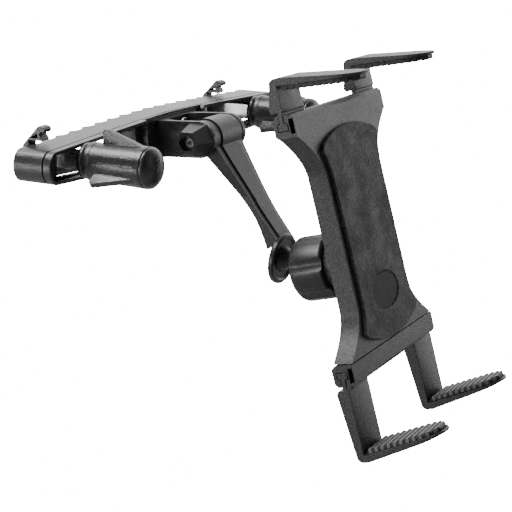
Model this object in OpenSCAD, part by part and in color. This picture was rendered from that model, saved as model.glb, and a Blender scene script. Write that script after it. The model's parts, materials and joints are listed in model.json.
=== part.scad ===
// Headrest tablet mount: a bar that clamps to the two posts of a car headrest,
// a swing arm with a ball joint, and a spring-loaded holder with four legs.
// Millimetres. +X along the bar, -Y towards the passenger, +Z up.
// The origin is the centre of the bar, in the seam between its two shells.

/* [Headrest bar] */
// Length of the bar, nose to nose
bar_length = 226; // [210:1:250]
// Height of the bar at its round ends
bar_end_height = 16.4; // [15:0.2:18]
// Height of the bar at its middle
bar_mid_height = 24.4; // [22:0.2:27]
// Length of each rounded nose
bar_nose = 6.2; // [4:0.2:8]
// Depth of the rear shell
rear_depth = 17.2; // [16:0.2:20]
// Thickness of the rear shell's serrated wall
rear_wall = 5; // [4.4:0.2:6]
// Thickness of the shells' other walls
bar_wall = 2.4; // [2:0.1:3]
// Depth of the front shell, rims included
front_depth = 4.9; // [4.2:0.1:6]
// Thickness of the front shell's plate, with the seam
plate_depth = 2.2; // [1.8:0.1:2.6]
// Width of the shadow gap between the two shells
seam_gap = 0.9; // [0.5:0.1:1.4]
// Depth of the shadow gap
seam_inset = 1.1; // [0.6:0.1:1.6]
// Width of the rim around each front pocket
rim_width = 1.7; // [1.5:0.1:2.8]
// Distance from the middle to the inner end of each rim
rim_inner_x = 27; // [24:0.5:29]
// Height of the guide slots
slot_height = 9; // [8:0.2:10]
// Distance from the middle to the inner end of each slot
slot_inner_x = 36; // [33:0.5:42]
// Distance from the bar's end to the outer end of each slot
slot_end_margin = 13; // [12:0.5:16]
// Distance from the inner end of the left slot to its bolt's innermost place
left_stop_margin = 10; // [10:0.5:14]
// Distance from the inner end of the right slot to its bolt's innermost place
right_stop_margin = 17; // [17:0.5:20]

/* [Post clamps] */
// Radius of the headrest post that the grooves are cut for
post_radius = 6; // [5:0.5:7]
// Distance from one rear groove to the next
groove_pitch = 11.2; // [10:0.1:12]
// Depth of each rear groove
groove_depth = 2.6; // [2.2:0.1:3]
// Distance of each clamp bolt from the outer end of its slot
clamp_margin = 16; // [14:0.5:24]
// Thickness of the clamp jaw's strap behind the post
jaw_thickness = 5; // [4.6:0.1:6]
// Thickness of the strap beside the post
strap_thickness = 3.4; // [3:0.1:4]
// Height of the strap on its side towards the bar
jaw_height = 9.2; // [8.6:0.1:10]
// Height of the strap at its back
jaw_back_height = 4.4; // [4:0.1:6]
// Gap between the jaw's heel and the bar
heel_gap = 0.3; // [0.3:0.1:0.6]
// Height of the claw above the bar's top
claw_rise = 7.4; // [6:0.1:9]
// How far the claw reaches forward from the bar's back
claw_reach = 9.6; // [8:0.1:11]
// Width of the jaw's heel and claw
heel_width = 6; // [4:0.5:7]
// Distance from the bolt to the middle of the heel
heel_offset = 13; // [12.5:0.5:14]
// Gap between the claw and the bar's top, at the innermost place of the jaw
claw_gap = 0.35; // [0.3:0.05:1]
// Width of the jaw's guide block
guide_width = 9; // [8:0.5:9.5]
// Play of the guide block in its slots
guide_play = 0.3; // [0.2:0.05:0.5]
// Radius of the clamp bolt
bolt_radius = 2.5; // [2:0.25:3]
// Radius of the bolt's domed head
bolt_head_radius = 4.4; // [4:0.1:5]
// Height of the bolt's domed head
bolt_head_height = 1.5; // [1.2:0.1:2]

/* [Clamp knobs] */
// Radius of the thrust washer
washer_radius = 9.0; // [8.8:0.1:10]
// Thickness of the thrust washer
washer_thickness = 3.8; // [3:0.1:5]
// Radius of the knob's flange
knob_flange_radius = 9.8; // [9.6:0.1:11]
// Length of the knob's flange
knob_flange_length = 4.3; // [3:0.1:6]
// Radius of the knob's barrel next to the flange
knob_base_radius = 9.5; // [9:0.1:10]
// Radius of the knob's barrel at the domed end
knob_end_radius = 10.4; // [10:0.1:11.5]
// Length of the knob's barrel
knob_barrel_length = 30.3; // [26:0.1:34]
// Height of the knob's dome
knob_dome_height = 4.6; // [3.4:0.2:6]
// Radius to the tip of each wing of the knob
wing_radius = 17; // [15:0.2:19]
// Distance from the flange to the start of each wing
wing_start = 3.6; // [0.8:0.1:5]
// Thickness of each wing
wing_thickness = 2.8; // [2:0.1:4]
// Number of wings on each knob
wing_count = 3; // [2:1:4]
// Radius of the metal insert in the knob
insert_radius = 5; // [4.5:0.1:6]
// Length of the metal insert
insert_length = 10; // [8:0.5:14]

/* [Clevis] */
// Outer width of the clevis
clevis_width = 33.1; // [31:0.1:36]
// Thickness of each ear at its tip
ear_thickness = 2.75; // [2.2:0.05:3.5]
// Thickness of each ear at its root
ear_root_thickness = 6; // [5:0.1:8]
// Thickness of the clevis's back web
web_thickness = 3.2; // [2.5:0.1:5]
// Radius of each ear's round tip
ear_radius = 9.8; // [9:0.1:11]
// Distance of the pivot in front of the seam
pivot_forward = 28.8; // [27:0.1:33]
// Height of the pivot above the bar's middle
pivot_height = 1.2; // [0:0.1:2]
// Length of the hexagonal boss on the left ear
boss_length = 12; // [9:0.5:14]
// Half the width across flats of the boss at the ear
boss_base = 8.8; // [8:0.1:9.4]
// Half the width across flats of the boss at its end
boss_tip = 5.9; // [5.4:0.1:7]
// Radius of the pivot bolt
pivot_radius = 2.5; // [2:0.25:3]
// Half the width across flats of the pivot nut
nut_half_width = 3.9; // [3.5:0.1:4.2]
// Thickness of the pivot nut
nut_thickness = 4; // [3:0.25:5]

/* [Swing arm] */
// Play between the arm's hub and each ear
hub_play = 0.3; // [0.2:0.05:0.5]
// Radial running clearance of the hub on the pivot bolt
hub_bore_play = 0.06; // [0.03:0.01:0.09]
// Radius of the arm's hub
hub_radius = 9.5; // [8.8:0.1:10.5]
// Width of the arm halfway down
arm_mid_width = 18.8; // [16:0.2:22]
// Width of the arm at the flange
arm_end_width = 15.6; // [13:0.2:18]
// Thickness of the arm's blade at its thinnest place
arm_thickness = 4; // [3.4:0.2:6]
// How much the blade swells on each side towards the hub
arm_root_swell = 3.2; // [2:0.1:4]
// How much the blade swells on each side towards the flange
arm_end_swell = 2.6; // [1:0.1:3]
// Bow of the blade between the hub and the flange
arm_bow = 1.6; // [0:0.1:3]
// Height of the raised band on the arm's front
band_height = 0.8; // [0.4:0.1:1.4]
// Distance of the flange in front of the pivot
flange_forward = 39.7; // [37:0.1:43]
// Distance of the flange below the pivot
flange_drop = 62.6; // [58:0.1:67]
// Downward slope of the flange's axis, in degrees
flange_slope = 5.7; // [2:0.1:9]
// Radius of the flange
flange_radius = 13.75; // [12:0.05:15.5]
// Thickness of the flange's rim
flange_thickness = 3.5; // [2.5:0.1:5]
// Distance from the flange's front to the ball's centre
neck_length = 19.8; // [18.8:0.1:23]
// Radius of the neck at the flange
neck_root_radius = 6.2; // [5:0.1:8]
// Radius of the neck at the ball
neck_radius = 3.8; // [3.4:0.1:4.2]
// Radius of the ball
ball_radius = 8.5; // [8:0.1:8.6]

/* [Ball socket] */
// Clearance between one spherical face and the next
sphere_play = 0.3; // [0.2:0.05:0.4]
// Thickness of each friction cup
cup_thickness = 0.9; // [0.7:0.1:1.1]
// Half angle that the inner friction cup covers, in degrees
inner_cup_angle = 40; // [30:1:44]
// Half angle that the outer friction cup covers, in degrees
outer_cup_angle = 50; // [40:1:60]
// Outer radius of the socket's collar
collar_radius = 13.6; // [13.2:0.1:14.4]
// Distance from the ball's centre to the collar's rear edge
collar_reach = 4.4; // [4:0.1:4.8]
// Largest half angle of the neck in the socket, in degrees
neck_swing = 34; // [30:1:35]

/* [Ring nut] */
// Outer radius of the ring nut
ring_radius = 17.3; // [16.4:0.1:19]
// Length of the ring nut
ring_length = 20.5; // [19:0.5:22]
// Distance from the ball's centre to the ring nut's rear face
ring_reach = 9.6; // [9:0.1:10.5]
// Length of the domed part of the ring nut
ring_dome = 4.2; // [2:0.1:4.5]
// Number of flutes around the ring nut
flute_count = 6; // [3:1:6]
// Radius of each flute
flute_radius = 5; // [4:0.2:5.6]
// Depth of each flute
flute_depth = 1.9; // [1:0.1:2.2]

/* [Holder] */
// Lean of the holder's top towards the bar, in degrees
holder_lean = 15.6; // [5:0.1:20]
// Distance from the ball's centre to the holder's front face
holder_standoff = 34.3; // [33.5:0.1:38]
// Height of the holder's middle above the ball's centre
holder_raise = 15.5; // [0:0.5:22]
// Width of the holder's head and foot
holder_width = 100; // [90:1:120]
// Distance from the holder's middle to the end of the head
holder_reach = 68.3; // [66:0.1:76]
// Height of the head and of the foot
head_height = 11; // [10.4:0.1:13]
// Depth of the holder, front to back
holder_depth = 12; // [11.6:0.1:14]
// Thickness of the holder's front cover
cover_thickness = 3; // [2.6:0.1:3.2]
// Width of the holder's waist
waist_width = 62; // [58:0.5:70]
// How far the side of the back housing lies inside the cover
side_step = 1.2; // [0.8:0.1:2]
// Length of each flare from the waist to the head
flare_length = 23; // [18:0.5:26]
// Power of the flare's curve
flare_power = 1.8; // [1.5:0.1:2.2]
// Gap between the spine and the foot
foot_gap = 0.6; // [0.4:0.1:1]
// Largest travel of the sliding foot
foot_travel = 40; // [25:1:45]
// Thickness of the foot's tongue
tongue_thickness = 3; // [2.4:0.1:3.4]
// Width of the foot's tongue
tongue_width = 28; // [24:0.5:30]
// Length of the foot's tongue
tongue_length = 74; // [66:1:80]
// Radius of the wire of the return springs
wire_radius = 0.45; // [0.35:0.05:0.6]
// Radius of the return springs' coils
coil_radius = 2; // [1.6:0.1:2.2]

/* [Front pad] */
// Thickness of the rubber pad
pad_thickness = 2; // [1.6:0.1:3]
// Width of the pad at the waist
pad_waist = 55; // [50:0.5:57]
// Width of the pad at its corners
pad_corner_width = 67; // [60:0.5:70]
// Height of the pad between its corners
pad_corner_height = 100; // [94:0.5:102]
// Bulge of the pad's top and bottom edges
pad_bulge = 6; // [3:0.2:6.2]
// Length of the bare oval badge seat
badge_length = 30; // [24:0.5:34]
// Height of the badge seat
badge_height = 19; // [15:0.5:22]
// Distance of the badge below the holder's middle
badge_drop = 32; // [28:0.5:34]
// Depth of the badge seat
badge_depth = 1.1; // [0.8:0.1:1.3]
// Thickness of the badge plate
badge_thickness = 0.6; // [0.4:0.1:0.7]

/* [Legs] */
// Width of each leg
leg_width = 22.4; // [16:0.2:24]
// Distance of the left legs' middle from the end of the head
left_leg_inset = 11; // [10:0.2:20]
// Distance of the right legs' middle from the end of the head
right_leg_inset = 7.4; // [7:0.2:20]
// Length of each bottom leg beyond the foot
bottom_leg_length = 37.6; // [28:0.1:55]
// Length of each top leg beyond the head
top_leg_length = 16.6; // [15:0.1:35]
// Rise of the grip face on the bottom legs, in degrees
bottom_grip_rise = 10.6; // [4:0.2:12]
// Rise of the grip face on the top legs, in degrees
top_grip_rise = 5; // [4:0.2:12]
// How far each leg reaches in front of the holder
leg_forward = 37.6; // [30:0.2:42]
// Depth of the leg at its root
leg_root_depth = 7.2; // [6:0.1:8]
// Depth of the leg at its corner
leg_corner_depth = 4.4; // [3.6:0.1:5.5]
// Thickness of the grip bar at the corner
grip_thickness = 3.8; // [3:0.1:5]
// How much steeper the grip bar's outside is than its grip face
grip_taper = 3.6; // [2:0.1:4]
// Gap between the leg and the end of the head
leg_gap = 1.7; // [1:0.1:2.5]
// Thickness of the rubber on the grip face, ribs included
rubber_thickness = 2.5; // [2:0.1:3.5]
// Height of each rubber rib
rib_height = 1.1; // [0.6:0.1:1.5]
// Number of ribs on each rubber
rib_count = 11; // [7:1:13]

/* [T slots] */
// Distance from the holder's front to the middle of the T slot
slot_back = 6.8; // [6.6:0.1:7]
// Width of the leg's neck
neck_width = 2.4; // [2:0.1:2.8]
// Width of the leg's T head
tee_width = 5.6; // [5:0.1:5.8]
// Height of the leg's T head
tee_height = 3.2; // [2.6:0.1:3.4]
// Thickness of the lips that hold the T head
lip_thickness = 3.9; // [3.2:0.1:4.2]
// Play of the T head in its slot
tee_play = 0.3; // [0.2:0.05:0.4]

/* [Hidden] */
$fn = 48;

plastic = "#26272a";
rubber = "#1b1b1c";
steel = "#a9abad";
brass = "#b08d4a";

// A little more than any cut needs
over = 1;
// Running clearance of a bolt in a drilled hole
bolt_play = 0.2;

// Headrest bar
bar_half = bar_length / 2;
nose_x = bar_half - bar_nose;
outline_steps = 14;
nose_steps = 8;
grooves_per_side = floor((bar_half - 8) / groove_pitch);
slot_outer_x = bar_half - slot_end_margin;
clamp_x = slot_outer_x - clamp_margin;
cavity_end_x = slot_outer_x + 1;
cavity_start_x = rim_inner_x + 6;
window_front_y = 3;
post_y = rear_depth + post_radius - groove_depth;
jaw_front_y = post_y + post_radius - groove_depth;
jaw_rear_y = jaw_front_y + jaw_thickness;
strap_rear_y = jaw_front_y + strap_thickness;
guide_front_y = -front_depth + heel_gap;
guide_height = slot_height - 2 * guide_play;
shell_screw_x = 19;
shell_screw_z = 5;
shell_screw_radius = 1.5;
shell_screw_head = 2.8;

// Half the height of the bar at a distance x from its middle
function bar_half_height(x) =
    bar_end_height / 2 + (bar_mid_height - bar_end_height) / 2 * (1 - pow(abs(x) / nose_x, 1.35));

// Upper edge of the bar's outline, drawn inside the true one by inset
function bar_top(inset) = concat(
    [for (i = [0 : nose_steps - 1]) let (a = 180 - 90 * i / nose_steps)
        [-nose_x + (bar_nose - inset) * cos(a), (bar_end_height / 2 - inset) * sin(a)]],
    [for (i = [0 : 2 * outline_steps]) let (x = nose_x * (i / outline_steps - 1))
        [x, bar_half_height(x) - inset]],
    [for (i = [1 : nose_steps]) let (a = 90 - 90 * i / nose_steps)
        [nose_x + (bar_nose - inset) * cos(a), (bar_end_height / 2 - inset) * sin(a)]]
);

// Clevis and arm
pivot_y = -pivot_forward;
pivot_z = pivot_height;
clevis_half = clevis_width / 2;
ear_inner_x = clevis_half - ear_thickness;
hub_half = ear_inner_x - hub_play;
clevis_back_y = -plate_depth;
web_front_y = clevis_back_y - web_thickness;
ear_taper_length = 8;
boss_x = clevis_half + boss_length;
nut_seat = 4.6;
clevis_screw_z = 5.2;
clevis_screw_x = 5;
flange_y = pivot_y - flange_forward;
flange_z = pivot_z - flange_drop;
flange_front_y = flange_y - flange_thickness * cos(flange_slope);
flange_front_z = flange_z - flange_thickness * sin(flange_slope);
ball_y = flange_front_y - neck_length * cos(flange_slope);
ball_z = flange_front_z - neck_length * sin(flange_slope);

// Ball socket and ring nut
inner_cup_radius = ball_radius + sphere_play;
outer_cup_radius = inner_cup_radius + cup_thickness + sphere_play;
socket_radius = outer_cup_radius + cup_thickness + sphere_play;
ring_bore = collar_radius + sphere_play;
swing_slope = tan(neck_swing);
swing_start = neck_radius / cos(neck_swing) + sphere_play;

// Holder
waist_half = waist_width / 2;
end_half = holder_width / 2;
left_leg_x = end_half - left_leg_inset;
right_leg_x = end_half - right_leg_inset;
spring_room = 8;
head_low = holder_reach - head_height;
flare_start = head_low - flare_length;
flare_steps = 12;
end_chamfer = 1.9;
back_edge = 1.5;
tee_cavity_top = holder_reach - lip_thickness;
tee_cavity_low = tee_cavity_top - tee_height - 2 * tee_play;
end_pocket_depth = 10;
end_pocket_width = 2.5;
tongue_back = 6.2;
tongue_play = 0.3;
cavity_half = waist_half - 5.5;
cavity_top = tongue_length - head_low + spring_room;
spring_x = (cavity_half + tongue_width / 2) / 2;
spring_y = tongue_back - 0.4;
spring_low = -head_low + 6;
spring_high = cavity_top - 3;
spring_turns = 20;
post_pin_radius = 1.1;
holder_screw_radius = 1.4;
holder_screw_head = 2.4;
holder_screw_x = waist_half - 5.8;
holder_screw_z = 30;

// Half the width of the holder's spine at a height z
function spine_half(z) = waist_half + (end_half - waist_half)
    * pow(max(0, abs(z) - flare_start) / flare_length, flare_power);

// Right edge of the spine, from its lower end to its upper end
function spine_edge(low, high, inset) = concat(
    [for (i = [flare_steps : -1 : 0]) let (z = -(flare_start + flare_length * i / flare_steps))
        if (z > low - 0.001) [spine_half(z) - inset, z]],
    [for (i = [0 : flare_steps]) let (z = flare_start + flare_length * i / flare_steps)
        if (z < high + 0.001) [spine_half(z) - inset, z]]
);

// Closes an edge with its own mirror image on the left
function mirrored(edge) = concat(
    edge, [for (i = [len(edge) - 1 : -1 : 0]) [-edge[i][0], edge[i][1]]]
);

// Stretches a flat shape of [x, z] points from y0 to y1
module along_y(y0, y1) {
    translate([0, y1, 0]) rotate([90, 0, 0]) linear_extrude(y1 - y0) children();
}

// Stretches a flat shape of [y, z] points from x0 to x1
module along_x(x0, x1) {
    translate([x0, 0, 0]) rotate([90, 0, 90]) linear_extrude(x1 - x0) children();
}

// A round bar along Y, from y0 to y1
module rod_y(r, y0, y1) {
    translate([0, y0, 0]) rotate([-90, 0, 0]) cylinder(r = r, h = y1 - y0);
}

// A round bar along X, from x0 to x1
module rod_x(r, x0, x1) {
    translate([x0, 0, 0]) rotate([0, 90, 0]) cylinder(r = r, h = x1 - x0);
}

// A hexagonal bar along X, given half its width across flats
module hex_x(half_width, x0, x1) {
    translate([x0, 0, 0]) rotate([0, 90, 0]) rotate([0, 0, 30])
        cylinder(r = half_width / cos(30), h = x1 - x0, $fn = 6);
}

// Outline of the bar in the XZ plane
module bar_outline(inset = 0) {
    top = bar_top(inset);
    polygon(concat(top, [for (i = [len(top) - 2 : -1 : 1]) [top[i][0], -top[i][1]]]));
}

// A slot with round ends, from x0 to x1
module round_slot(x0, x1, height) {
    r = height / 2;
    translate([x0 + r, 0]) circle(r = r);
    translate([x1 - r, 0]) circle(r = r);
    translate([x0 + r, -r]) square([x1 - x0 - 2 * r, height]);
}

// A countersunk screw pointing along +Y from y0, head first
module screw_y(y0, length, r, head) {
    rod_y(r, y0, y0 + length);
    translate([0, y0, 0]) rotate([-90, 0, 0]) cylinder(r1 = head, r2 = r, h = head - r);
}

// One point for each screw that joins the two shells of the bar
module at_shell_screws() {
    for (sx = [-1, 1], sz = [-1, 1])
        translate([sx * shell_screw_x, rear_depth, sz * shell_screw_z]) children();
}

// Rear shell: serrated towards the posts, hollow towards the front and open below
module bar_rear_shell() {
    color(plastic) difference() {
        along_y(0, rear_depth) bar_outline();
        difference() {
            along_y(-over, rear_depth - rear_wall) intersection() {
                bar_outline(bar_wall);
                translate([-cavity_end_x, -bar_mid_height]) square([2 * cavity_end_x, 2 * bar_mid_height]);
            }
            translate([-cavity_start_x, -2 * over, -bar_mid_height])
                cube([2 * cavity_start_x, rear_depth, 2 * bar_mid_height]);
        }
        for (s = [-1, 1]) scale([s, 1, 1])
            translate([slot_inner_x + 6, window_front_y, -bar_mid_height])
                cube([cavity_end_x - slot_inner_x - 6, rear_depth - rear_wall - window_front_y - 0.6,
                      bar_mid_height]);
        for (s = [-1, 1], i = [0 : grooves_per_side - 1])
            translate([s * groove_pitch * (i + 0.5), post_y, -bar_mid_height])
                cylinder(r = post_radius, h = 2 * bar_mid_height);
        for (s = [-1, 1])
            along_y(-over, rear_depth + over)
                round_slot(min(s * slot_inner_x, s * slot_outer_x),
                           max(s * slot_inner_x, s * slot_outer_x), slot_height);
        at_shell_screws() mirror([0, 1, 0]) {
            rod_y(shell_screw_radius, -over, rear_depth + over);
            rod_y(shell_screw_head + bolt_play, -over, groove_depth + 0.6);
            translate([0, groove_depth + 0.59, 0])
                screw_y(0, 2, shell_screw_radius, shell_screw_head + bolt_play);
        }
    }
}

// Four screws, from behind, that join the two shells
module bar_screws() {
    color(steel) at_shell_screws() mirror([0, 1, 0])
        translate([0, groove_depth + 0.6, 0]) difference() {
            screw_y(0, rear_depth - groove_depth - 0.6, shell_screw_radius, shell_screw_head);
            translate([-0.4, -over, -shell_screw_head * 0.7])
                cube([0.8, over + 0.8, shell_screw_head * 1.4]);
            translate([-shell_screw_head * 0.7, -over, -0.4])
                cube([shell_screw_head * 1.4, over + 0.8, 0.8]);
        }
}

// Front shell: a plate with a raised rim around each pocket
module bar_front_shell() {
    rim_corner = 3;
    color(plastic) difference() {
        union() {
            along_y(-seam_gap, 0) bar_outline(seam_inset);
            along_y(-plate_depth, -seam_gap) bar_outline();
            along_y(-front_depth, -plate_depth) intersection() {
                bar_outline();
                for (s = [-1, 1]) scale([s, 1]) union() {
                    translate([rim_inner_x + rim_corner, -bar_mid_height])
                        square([bar_half, 2 * bar_mid_height]);
                    translate([rim_inner_x, -bar_half_height(rim_inner_x) + rim_corner])
                        square([bar_half, 2 * bar_half_height(rim_inner_x) - 2 * rim_corner]);
                    for (sz = [-1, 1])
                        translate([rim_inner_x + rim_corner,
                                   sz * (bar_half_height(rim_inner_x) - rim_corner)])
                            circle(r = rim_corner);
                }
            }
        }
        for (s = [-1, 1]) scale([s, 1, 1]) along_y(-front_depth - over, over)
            intersection() {
                bar_outline(rim_width + (seam_inset > rim_width - 0.5 ? 0.5 : 0));
                union() {
                    translate([rim_inner_x + rim_width + rim_corner - 1, -bar_mid_height])
                        square([bar_half, 2 * bar_mid_height]);
                    for (sz = [-1, 1])
                        translate([rim_inner_x + rim_width + rim_corner - 1,
                                   sz * (bar_half_height(rim_inner_x) - rim_width - rim_corner + 1)])
                            circle(r = rim_corner - 1);
                    translate([rim_inner_x + rim_width,
                               -bar_half_height(rim_inner_x) + rim_width + rim_corner - 1])
                        square([rim_corner, 2 * (bar_half_height(rim_inner_x) - rim_width - rim_corner + 1)]);
                }
            }
        at_clevis_screws() rod_y(shell_screw_radius, -over, web_thickness + plate_depth + over);
    }
}

// Innermost place of each clamp bolt, as a distance from the middle
left_stop_x = slot_inner_x + left_stop_margin;
right_stop_x = slot_inner_x + right_stop_margin;

// Underside of a claw: it clears the bar's top at the innermost place of its jaw
function claw_low(x) = bar_half_height(x < 0 ? left_stop_x + heel_offset - heel_width / 2
                                             : right_stop_x - heel_offset - heel_width / 2) + claw_gap;

// Side view of the jaw's heel and claw, which hooks over the bar so that the jaw can't turn
module claw_profile(x) {
    low = claw_low(x);
    top = low + claw_rise;
    back = rear_depth + heel_gap;
    tip = rear_depth - claw_reach;
    thick = claw_rise * 0.42;
    difference() {
        polygon([
            [back, -jaw_height / 2], [jaw_front_y + 0.6, -jaw_height / 2], [jaw_front_y + 0.6, jaw_height / 2 - 0.4],
            [back + 2.4, low - 1.4], [back - claw_reach * 0.66, top], [tip + 0.9, top - 0.6],
            [tip, top - thick * 0.5], [tip + 0.5, top - thick], [tip + 2.4, top - thick + 0.3],
            [tip + 3.4, top - thick - 1.2], [tip + 1.6, low + 0.7], [tip + 2, low], [back, low]
        ]);
        polygon([[tip + 4, low + 1.2], [back - 1.2, low + 1.2], [tip + 4.6, top - thick - 0.7]]);
    }
}

// Clamp jaw: a strap behind the post, with a heel and a claw at its left end
module jaw(x) {
    post_x = x + groove_pitch;
    left = x - heel_offset - heel_width / 2;
    right = post_x + post_radius + 1.6;
    back = jaw_front_y + strap_thickness;
    heel_y = rear_depth + heel_gap;
    slope = (jaw_height - jaw_back_height) / 2;
    color(plastic) difference() {
        union() {
            intersection() {
                translate([0, 0, -jaw_height]) linear_extrude(2 * jaw_height) polygon([
                    [left, heel_y], [left + heel_width, heel_y], [left + heel_width, jaw_front_y],
                    [right, jaw_front_y], [right, back - 1.4], [right - 1.4, back],
                    [post_x + post_radius - 0.6, back], [post_x + post_radius - 2.2, jaw_rear_y],
                    [post_x - post_radius + 2.2, jaw_rear_y], [post_x - post_radius + 0.6, back],
                    [x - bolt_head_radius - 0.6, back], [left, heel_y + 3.6]
                ]);
                along_x(left, right) polygon([
                    [heel_y, -jaw_height / 2], [jaw_front_y, -jaw_height / 2],
                    [jaw_rear_y, -jaw_height / 2 + slope], [jaw_rear_y, jaw_height / 2 - slope],
                    [jaw_front_y, jaw_height / 2], [heel_y, jaw_height / 2]
                ]);
            }
            intersection() {
                along_x(left, left + heel_width) claw_profile(x);
                translate([0, 0, -jaw_height]) linear_extrude(6 * jaw_height) polygon([
                    [left, 0], [left + heel_width, 0], [left + heel_width, back], [left + 6, back],
                    [left, heel_y + 3.6]
                ]);
            }
        }
        translate([post_x, post_y, -jaw_height]) cylinder(r = post_radius, h = 2 * jaw_height);
        translate([x, 0, 0]) rod_y(bolt_radius + bolt_play, jaw_front_y - over, jaw_rear_y + over);
    }
}

// Guide block: a metal block on the clamp bolt that slides in the bar's slot
module guide_block(x) {
    color(steel) difference() {
        translate([x - guide_width / 2, guide_front_y, -guide_height / 2])
            cube([guide_width, jaw_front_y - guide_front_y, guide_height]);
        translate([x, 0, 0]) rod_y(bolt_radius + bolt_play, guide_front_y - over, jaw_front_y + over);
    }
}

// Clamp bolt: domed head behind the jaw, thread into the knob
module clamp_bolt(x) {
    tip_y = -front_depth - washer_thickness - knob_flange_length - insert_length - 6;
    translate([x, 0, 0]) color(steel) {
        rod_y(bolt_radius, tip_y, strap_rear_y);
        translate([0, strap_rear_y, 0]) rotate([-90, 0, 0]) intersection() {
            cylinder(r = bolt_head_radius, h = bolt_head_height);
            dome = (bolt_head_radius * bolt_head_radius + bolt_head_height * bolt_head_height)
                / (2 * bolt_head_height);
            translate([0, 0, bolt_head_height - dome]) sphere(r = dome, $fn = 96);
        }
    }
}

// Thrust washer between the bar's rims and the knob
module thrust_washer(x) {
    edge = 1.1;
    y0 = -front_depth;
    translate([x, y0, 0]) rotate([90, 0, 0]) color(plastic) rotate_extrude($fn = 64) polygon([
        [bolt_radius + bolt_play, 0], [washer_radius - edge, 0], [washer_radius - 0.3, 0.35],
        [washer_radius, edge], [washer_radius, washer_thickness - edge],
        [washer_radius - 0.3, washer_thickness - 0.35], [washer_radius - edge, washer_thickness],
        [bolt_radius + bolt_play, washer_thickness]
    ]);
}

// Start of the knob, just in front of its washer
knob_start_y = -front_depth - washer_thickness - 0.05;
knob_dome_start = knob_flange_length + knob_barrel_length;
knob_bore_spare = 9;
knob_bore_depth = knob_flange_length + insert_length + knob_bore_spare;

// Knob: a tapered barrel with a domed end and wings
module knob(x) {
    edge = 1.2;
    dome_steps = 8;
    insert_seat = knob_flange_length - 1;
    translate([x, knob_start_y, 0]) rotate([90, 0, 0]) color(plastic) difference() {
        union() {
            rotate_extrude($fn = 64) polygon(concat(
                [[0, 0], [knob_flange_radius - edge, 0], [knob_flange_radius - 0.35, 0.35],
                 [knob_flange_radius, edge], [knob_flange_radius, knob_flange_length - edge],
                 [knob_base_radius, knob_flange_length], [knob_end_radius, knob_dome_start - 0.9],
                 [knob_end_radius - 0.5, knob_dome_start - 0.6],
                 [knob_end_radius - 0.5, knob_dome_start - 0.2]],
                [for (i = [0 : dome_steps]) let (a = 90 * i / dome_steps)
                    [(knob_end_radius - 0.15) * cos(a), knob_dome_start + knob_dome_height * sin(a)]]
            ));
            for (i = [0 : wing_count - 1]) rotate([0, 0, 90 + i * 360 / wing_count]) wing();
        }
        translate([0, 0, -over]) cylinder(r = bolt_radius + bolt_play, h = knob_bore_depth + over);
        translate([0, 0, -over]) cylinder(r = insert_radius, h = insert_seat + insert_length + over);
    }
}

// One wing of the knob, flat on both sides and tall at the bar end
module wing() {
    start = knob_flange_length + wing_start;
    rotate([90, 0, 0]) linear_extrude(wing_thickness, center = true) polygon([
        [knob_base_radius - 2, start], [wing_radius - 1.4, start], [wing_radius - 0.3, start + 0.9],
        [wing_radius, start + 2.4], [wing_radius - 0.5, start + 4],
        [knob_end_radius - 1, knob_dome_start - 1.5]
    ]);
}

// Threaded metal insert in the knob
module knob_insert(x) {
    translate([x, knob_start_y, 0]) rotate([90, 0, 0]) color(brass) difference() {
        translate([0, 0, knob_flange_length - 1]) cylinder(r = insert_radius, h = insert_length);
        cylinder(r = bolt_radius + 0.06, h = knob_bore_depth);
    }
}

// Points of the two screws that hold the clevis
module at_clevis_screws() {
    for (sx = [-1, 1], sz = [-1, 1])
        translate([sx * clevis_screw_x, web_front_y, sz * clevis_screw_z]) children();
}

// Clevis: two ears on a back web, with a hexagonal boss on the left ear
module clevis() {
    root_x = clevis_half - ear_root_thickness;
    color(plastic) difference() {
        union() {
            intersection() {
                along_x(-clevis_half, clevis_half) union() {
                    translate([pivot_y, pivot_z]) circle(r = ear_radius, $fn = 64);
                    polygon([
                        [clevis_back_y, ear_radius - 0.4], [pivot_y, pivot_z + ear_radius],
                        [pivot_y, pivot_z - ear_radius], [clevis_back_y, -ear_radius - 0.4]
                    ]);
                }
                translate([0, 0, -2 * ear_radius]) linear_extrude(4 * ear_radius) difference() {
                    translate([-clevis_half, pivot_y - 2 * ear_radius])
                        square([clevis_width, 2 * ear_radius - pivot_y + clevis_back_y]);
                    polygon([
                        [-ear_inner_x, pivot_y - 3 * ear_radius], [-ear_inner_x, web_front_y - ear_taper_length],
                        [-root_x, web_front_y], [root_x, web_front_y],
                        [ear_inner_x, web_front_y - ear_taper_length], [ear_inner_x, pivot_y - 3 * ear_radius]
                    ]);
                }
            }
            translate([0, pivot_y, pivot_z]) hex_boss();
        }
        translate([0, pivot_y, pivot_z]) {
            rod_x(pivot_radius + bolt_play, -boss_x - over, clevis_half + over);
            hex_x(nut_half_width + bolt_play, -boss_x - over, -boss_x + nut_seat + nut_thickness);
        }
        at_clevis_screws() rod_y(shell_screw_radius, -over, web_thickness + over);
    }
}

// Tapered hexagonal boss: three tapered slabs that cross at 60 degrees
module hex_boss() {
    intersection() {
        for_slab(0);
        for_slab(60);
        for_slab(120);
    }
}

// One tapered slab of the boss, turned about the pivot's axis
module for_slab(angle) {
    rotate([angle, 0, 0]) translate([0, 2 * boss_base, 0]) rotate([90, 0, 0])
        linear_extrude(4 * boss_base) polygon([
            [-clevis_half + 0.5, -boss_base], [-boss_x, -boss_tip],
            [-boss_x, boss_tip], [-clevis_half + 0.5, boss_base]
        ]);
}

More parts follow.
